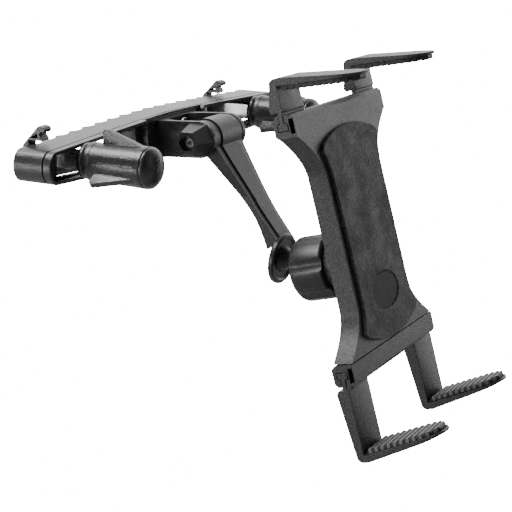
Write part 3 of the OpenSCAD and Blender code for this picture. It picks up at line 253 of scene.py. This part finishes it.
class GroupMaker:
    """Builds a shader node group that puts out a colour, a roughness and a height."""

    def __init__(self, name, inputs):
        self.tree = bpy.data.node_groups.new(name, "ShaderNodeTree")
        for label, kind, value in inputs:
            socket = self.tree.interface.new_socket(name=label, in_out="INPUT", socket_type=kind)
            socket.default_value = value
        for label, kind in EFFECT_OUTPUTS:
            self.tree.interface.new_socket(name=label, in_out="OUTPUT", socket_type=kind)
        self.source = self.tree.nodes.new("NodeGroupInput").outputs
        self.result = self.tree.nodes.new("NodeGroupOutput").inputs

    def node(self, kind, **settings):
        made = self.tree.nodes.new(kind)
        for key, value in settings.items():
            setattr(made, key, value)
        return made

    def feed(self, socket, value):
        """Link another node's output to the socket, or set a plain value on it."""
        if hasattr(value, "links"):
            self.tree.links.new(value, socket)
        else:
            socket.default_value = value

    def position(self):
        return self.node("ShaderNodeTexCoord").outputs["Object"]

    def noise(self, scale, detail=3.0, rough=0.55):
        made = self.node("ShaderNodeTexNoise")
        made.inputs["Detail"].default_value = detail
        made.inputs["Roughness"].default_value = rough
        self.feed(made.inputs["Vector"], self.position())
        self.feed(made.inputs["Scale"], scale)
        return made.outputs["Fac"]

    def ranged(self, value, low, high):
        """Spread a noise from low to high. It seldom leaves NOISE_LOW to NOISE_HIGH."""
        made = self.node("ShaderNodeMapRange")
        self.feed(made.inputs["Value"], value)
        made.inputs["From Min"].default_value = NOISE_LOW
        made.inputs["From Max"].default_value = NOISE_HIGH
        self.feed(made.inputs["To Min"], low)
        self.feed(made.inputs["To Max"], high)
        return made.outputs[0]

    def mix(self, amount, first, second):
        """Mix two colours. A Mix node has sockets for numbers and vectors before its colours."""
        made = self.node("ShaderNodeMix", data_type="RGBA")
        self.feed(made.inputs[0], amount)
        self.feed(made.inputs[6], first)
        self.feed(made.inputs[7], second)
        return made.outputs[2]

    def math(self, operation, *values):
        made = self.node("ShaderNodeMath", operation=operation)
        for socket, value in zip(made.inputs, values):
            self.feed(socket, value)
        return made.outputs[0]


print("each effect puts out", [label for label, kind in EFFECT_OUTPUTS])

# %% [markdown]
# Injection-moulded plastic copies the fine spark-eroded grain of its mould, and handling leaves
# cloudy, slightly polished patches. Fine noise gives the height of the grain. Broad clouds and
# short streaks shift the roughness and the colour a little, and tiny specks make the colour
# sparkle. A bump is enough for the grain, because it is far too shallow to show in an outline.
# The scales count waves per metre, because the part is modelled in metres.

# %% Grain of the moulded plastics
CLOUD_SCALE = 28.0
STREAK_SCALE = 160.0
SPECK_SCALE = 1300.0
CLOUD_SHARE = 0.6
STREAK_SHARE = 0.4


def moulded_grain():
    group = GroupMaker("moulded_grain", [
        ("Colour", "NodeSocketColor", (0.03, 0.03, 0.03, 1)),
        ("Worn Colour", "NodeSocketColor", (0.06, 0.06, 0.06, 1)),
        ("Grain Scale", "NodeSocketFloat", 2500.0),
        ("Smooth Roughness", "NodeSocketFloat", 0.3),
        ("Dull Roughness", "NodeSocketFloat", 0.45),
        ("Speckle", "NodeSocketFloat", 0.3),
    ])
    source = group.source
    clouds = group.math("MULTIPLY", group.noise(CLOUD_SCALE, detail=4.0), CLOUD_SHARE)
    streaks = group.math("MULTIPLY", group.noise(STREAK_SCALE, detail=3.0), STREAK_SHARE)
    wear = group.math("ADD", clouds, streaks)
    worn = group.ranged(wear, low=0.0, high=1.0)
    tinted = group.mix(worn, source["Colour"], source["Worn Colour"])
    specks = group.ranged(group.noise(SPECK_SCALE, detail=2.0), low=-1.0, high=1.0)
    brightness = group.math("ADD", group.math("MULTIPLY", specks, source["Speckle"]), 1.0)
    sparkle = group.node("ShaderNodeVectorMath", operation="SCALE")
    group.feed(sparkle.inputs[0], tinted)
    group.feed(sparkle.inputs["Scale"], brightness)
    roughness = group.ranged(wear, source["Smooth Roughness"], source["Dull Roughness"])
    group.feed(group.result["Colour"], sparkle.outputs[0])
    group.feed(group.result["Roughness"], roughness)
    group.feed(group.result["Height"], group.noise(source["Grain Scale"], detail=2.0))
    return group.tree


GRAIN = moulded_grain()
print("group", GRAIN.name)

# %% [markdown]
# The rubber on each grip has ribs across it, and their tops get a painted highlight: a pale stripe
# that stands in for the light the rib tops catch. The ribs themselves are real geometry. For the
# pale tops, each rib could get a second material on its upper faces, but the stripes are simple to
# compute: the position along the holder's forward axis is divided by the rib pitch, and the middle
# of each step is the top of a rib. The rubber is pale up to TOP_BEGINS of a pitch away from that
# middle, and dark from GROOVE_BEGINS on. Object coordinates travel with the piece, so the stripes
# stay on their ribs when a leg slides.

# %% Painted highlight on the tops of the rubber ribs
HOLDER_FORWARD = (0.0, -0.96316, 0.26892)
RIB_START = 0.101873
RIB_PITCH = 0.003564
RIB_MIDDLE = 0.5
TOP_BEGINS = 0.16
GROOVE_BEGINS = 0.3
RIB_HIGHLIGHT_PATCH_SCALE = 700.0
RUBBER_CLOUD_SCALE = 90.0
RUBBER_GRAIN_SCALE = 1500.0


def rib_tops():
    group = GroupMaker("rib_tops", [
        ("Dark", "NodeSocketColor", (0.01, 0.01, 0.01, 1)),
        ("Pale", "NodeSocketColor", (0.1, 0.1, 0.1, 1)),
    ])
    along = group.node("ShaderNodeVectorMath", operation="DOT_PRODUCT")
    along.inputs[1].default_value = HOLDER_FORWARD
    group.feed(along.inputs[0], group.position())
    from_root = group.math("SUBTRACT", along.outputs["Value"], RIB_START)
    within_rib = group.math("FRACT", group.math("DIVIDE", from_root, RIB_PITCH))
    off_middle = group.math("ABSOLUTE", group.math("SUBTRACT", within_rib, RIB_MIDDLE))
    top = group.node("ShaderNodeMapRange", interpolation_type="SMOOTHSTEP")
    group.feed(top.inputs["Value"], off_middle)
    top.inputs["From Min"].default_value = GROOVE_BEGINS
    top.inputs["From Max"].default_value = TOP_BEGINS
    # Noise breaks the painted highlight into patches, from 0.7 to full strength.
    highlight_patches = group.ranged(group.noise(RIB_HIGHLIGHT_PATCH_SCALE), low=0.7, high=1.0)
    amount = group.math("MULTIPLY", top.outputs[0], highlight_patches)
    colour = group.mix(amount, group.source["Dark"], group.source["Pale"])
    roughness = group.ranged(group.noise(RUBBER_CLOUD_SCALE), low=0.45, high=0.6)
    group.feed(group.result["Colour"], colour)
    group.feed(group.result["Roughness"], roughness)
    group.feed(group.result["Height"], group.noise(RUBBER_GRAIN_SCALE, detail=2.0))
    return group.tree


RIBS = rib_tops()
print("group", RIBS.name, "one rib every", round(RIB_PITCH * 1000, 2), "mm")

# %% [markdown]
# The soft pad on the front of the holder is pressed rubber. It looks smeared and dusty, in several
# sizes at once. One noise with much detail would be evenly rough everywhere. Three noises of
# different size are added instead: smears as wide as a finger, flecks, and dust.

# %% Mottle of the pressed pad
SMEAR_SCALE = 38.0
FLECK_SCALE = 520.0
DUST_SCALE = 1300.0


def pressed_mottle():
    group = GroupMaker("pressed_mottle", [
        ("Dark", "NodeSocketColor", (0.018, 0.018, 0.018, 1)),
        ("Pale", "NodeSocketColor", (0.06, 0.06, 0.06, 1)),
    ])
    smears = group.ranged(group.noise(SMEAR_SCALE, detail=6.0, rough=0.62), low=-0.25, high=0.75)
    flecks = group.ranged(group.noise(FLECK_SCALE, detail=4.0, rough=0.7), low=-0.4, high=0.5)
    dust = group.ranged(group.noise(DUST_SCALE, detail=2.0, rough=0.6), low=-0.5, high=0.55)
    amount = group.math("ADD", group.math("ADD", smears, flecks), dust)
    colour = group.mix(amount, group.source["Dark"], group.source["Pale"])
    roughness = group.ranged(group.noise(RUBBER_CLOUD_SCALE), low=0.55, high=0.75)
    group.feed(group.result["Colour"], colour)
    group.feed(group.result["Roughness"], roughness)
    group.feed(group.result["Height"], amount)
    return group.tree


MOTTLE = pressed_mottle()
print("group", MOTTLE.name)

# %% [markdown]
# Every finish is one material: a Principled shader, one of the groups and a Bump node. Numbers
# that are the same all over the surface, such as the specular level or the metallic value, sit on
# the shader itself. Only the colour, roughness and height that change come out of the group. Metal
# could have a group of its own. It is only on small parts here, such as screws, bolts and springs,
# so the plastic's fine unevenness serves for it too, under a metallic shader.

# %% Plastic, rubber and metal
GRAIN_DEPTH = 0.0002
RUBBER_DEPTH = 0.0001
METAL_GRAIN = 900
METAL_WORN_SHARE = 0.8
METAL_DULLING = 0.12


def finish_from_group(name, group, values, bump, depth, specular):
    finish = bpy.data.materials.new(name)
    finish.use_nodes = True
    tree = finish.node_tree
    shader = tree.nodes["Principled BSDF"]
    shader.inputs["Specular IOR Level"].default_value = specular
    skin = tree.nodes.new("ShaderNodeGroup")
    skin.node_tree = group
    for label, value in values.items():
        skin.inputs[label].default_value = value
    relief = tree.nodes.new("ShaderNodeBump")
    relief.inputs["Strength"].default_value = bump
    relief.inputs["Distance"].default_value = depth
    tree.links.new(skin.outputs["Colour"], shader.inputs["Base Color"])
    tree.links.new(skin.outputs["Roughness"], shader.inputs["Roughness"])
    tree.links.new(skin.outputs["Height"], relief.inputs["Height"])
    tree.links.new(relief.outputs["Normal"], shader.inputs["Normal"])
    return finish


def plastic(name, colour, worn, grain, roughness, bump, specular=0.5, speckle=0.3):
    values = {
        "Colour": (*colour, 1),
        "Worn Colour": (*worn, 1),
        "Grain Scale": grain,
        "Smooth Roughness": roughness[0],
        "Dull Roughness": roughness[1],
        "Speckle": speckle,
    }
    return finish_from_group(name, GRAIN, values, bump, GRAIN_DEPTH, specular)


def rubber(name, group, dark, pale, bump, specular):
    values = {"Dark": (*dark, 1), "Pale": (*pale, 1)}
    return finish_from_group(name, group, values, bump, RUBBER_DEPTH, specular)


def metal(name, colour, roughness):
    worn = [c * METAL_WORN_SHARE for c in colour]
    spread = (roughness, roughness + METAL_DULLING)
    finish = plastic(name, colour, worn, METAL_GRAIN, spread, bump=0.1, speckle=0.05)
    finish.node_tree.nodes["Principled BSDF"].inputs["Metallic"].default_value = 1.0
    return finish


print("grain up to", GRAIN_DEPTH * 1000, "mm deep")

# %% [markdown]
# All the plastic is black, and what sets the pieces apart is gloss. The knobs are the glossiest,
# the bar and the arm are satin, and the holder is matt with a grain that shows. The oval badge seat
# is plain, dark and dull. One black for all would be quicker, but then the pieces would melt into
# each other. Most pieces take the finish of their slot. The pad and the two lower rubbers look
# different from the others in theirs, so they have finishes of their own.

# %% Finishes
FINISH = {
    "shell": plastic(
        "satin_shell_plastic", (0.020, 0.020, 0.022), (0.028, 0.028, 0.030),
        grain=1300, roughness=(0.24, 0.34), bump=1.0,
    ),
    "knob": plastic(
        "glossy_knob_plastic", (0.016, 0.016, 0.018), (0.022, 0.022, 0.024),
        grain=1200, roughness=(0.18, 0.28), bump=0.9,
    ),
    "arm": plastic(
        "satin_arm_plastic", (0.015, 0.015, 0.017), (0.022, 0.022, 0.024),
        grain=1700, roughness=(0.26, 0.38), bump=0.5, specular=0.35,
    ),
    "holder": plastic(
        "grained_holder_plastic", (0.024, 0.024, 0.026), (0.036, 0.036, 0.038),
        grain=1300, roughness=(0.38, 0.48), bump=0.9, specular=0.43, speckle=0.8,
    ),
    "badge": plastic(
        "plain_badge_plastic", (0.012, 0.012, 0.013), (0.02, 0.02, 0.021),
        grain=2400, roughness=(0.55, 0.65), bump=0.2, specular=0.2,
    ),
    # The top rubbers get a faint painted highlight on their rib tops.
    "rubber": rubber(
        "plain_rubber", RIBS, (0.010, 0.010, 0.010), (0.03, 0.03, 0.03),
        bump=0.3, specular=0.4,
    ),
    "steel": metal("plated_steel", (0.42, 0.42, 0.43), roughness=0.3),
    "brass": metal("turned_brass", (0.55, 0.4, 0.18), roughness=0.3),
}
# The two lower rubbers get a much paler painted highlight on their rib tops.
BRIGHT_RIB_HIGHLIGHT = rubber(
    "rib_highlight_rubber", RIBS, (0.010, 0.010, 0.010), (0.17, 0.17, 0.17),
    bump=0.3, specular=0.5,
)
PAD_RUBBER = rubber(
    "mottled_pad_rubber", MOTTLE, (0.006, 0.006, 0.007), (0.070, 0.070, 0.072),
    bump=0.6, specular=0.42,
)
NODE_FINISH = {
    "front_pad": PAD_RUBBER,
    "bottom_left_rubber": BRIGHT_RIB_HIGHLIGHT,
    "bottom_right_rubber": BRIGHT_RIB_HIGHLIGHT,
}
print("finishes", sorted(FINISH), "for one node each", sorted(NODE_FINISH))

# %% [markdown]
# Two return springs pull the sliding foot back into the spine. Each hangs on a pin in the spine at
# its upper end and on the foot at its lower end, so it must stretch when the foot is pulled out.
# Here each spring only has its place baked into its mesh; it rides on no body and does not stretch.

# %% Springs that stretch with the foot
SPRINGS = ("left_return_spring", "right_return_spring")


def stretch_with_foot(spring):
    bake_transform(spring)


print("springs", SPRINGS)

# %% [markdown]
# A moulded edge is never sharp: it catches a thin line of light. Each solid is copied, its points
# and flat faces are joined up again, and every hard edge gets a small round from a Bevel modifier.
# Rounds in the solid itself would cost far more faces. The widths are in metres, so 0.0005 is half
# a millimetre. The copy stands in for the node, takes its finish and rides on its body. The springs
# are round already, so they get no bevel, and they are put on no body.

# %% Softened copies of the solids
EDGE_ROUND = {
    "bar_rear_shell": 0.0007,
    "bar_front_shell": 0.0005,
    "clevis": 0.0005,
    "swing_arm": 0.0007,
    "ring_nut": 0.0006,
    "holder_back_housing": 0.0005,
    "holder_front_cover": 0.0006,
    "sliding_foot": 0.0005,
    "left_knob": 0.0005,
    "right_knob": 0.0005,
    "front_pad": 0.0007,
    "badge_plate": 0.0002,
    "top_left_leg": 0.0006,
    "top_right_leg": 0.0006,
    "bottom_left_leg": 0.0006,
    "bottom_right_leg": 0.0006,
}
SMALL_ROUND = 0.0003
ROUND_STEPS = 2
SAME_POINT = 1e-6
SAME_PLANE = math.radians(0.6)
HARD_EDGE = math.radians(28)


def joined_copy(node):
    mesh = frame["nodes"][node].data.copy()
    mesh.name = node + "_soft"
    mesh.materials.clear()
    mesh.materials.append(NODE_FINISH.get(node, FINISH[node_slot[node]]))
    work = bmesh.new()
    work.from_mesh(mesh)
    bmesh.ops.remove_doubles(work, verts=work.verts, dist=SAME_POINT)
    bmesh.ops.dissolve_limit(work, angle_limit=SAME_PLANE, verts=work.verts, edges=work.edges)
    work.to_mesh(mesh)
    work.free()
    mesh.shade_smooth()
    mesh.set_sharp_from_angle(angle=HARD_EDGE)
    return mesh


def softened(node):
    piece = bpy.data.objects.new(node + "_soft", joined_copy(node))
    bpy.context.scene.collection.objects.link(piece)
    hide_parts(node)
    if node in SPRINGS:
        stretch_with_foot(piece)
        return
    rounding = piece.modifiers.new("edge_round", "BEVEL")
    rounding.width = EDGE_ROUND.get(node, SMALL_ROUND)
    rounding.segments = ROUND_STEPS
    rounding.limit_method = "ANGLE"
    rounding.angle_limit = HARD_EDGE
    rounding.use_clamp_overlap = True
    rounding.harden_normals = True
    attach(piece, node_body[node])


for node in frame["nodes"]:
    softened(node)
print("softened", len(frame["nodes"]))
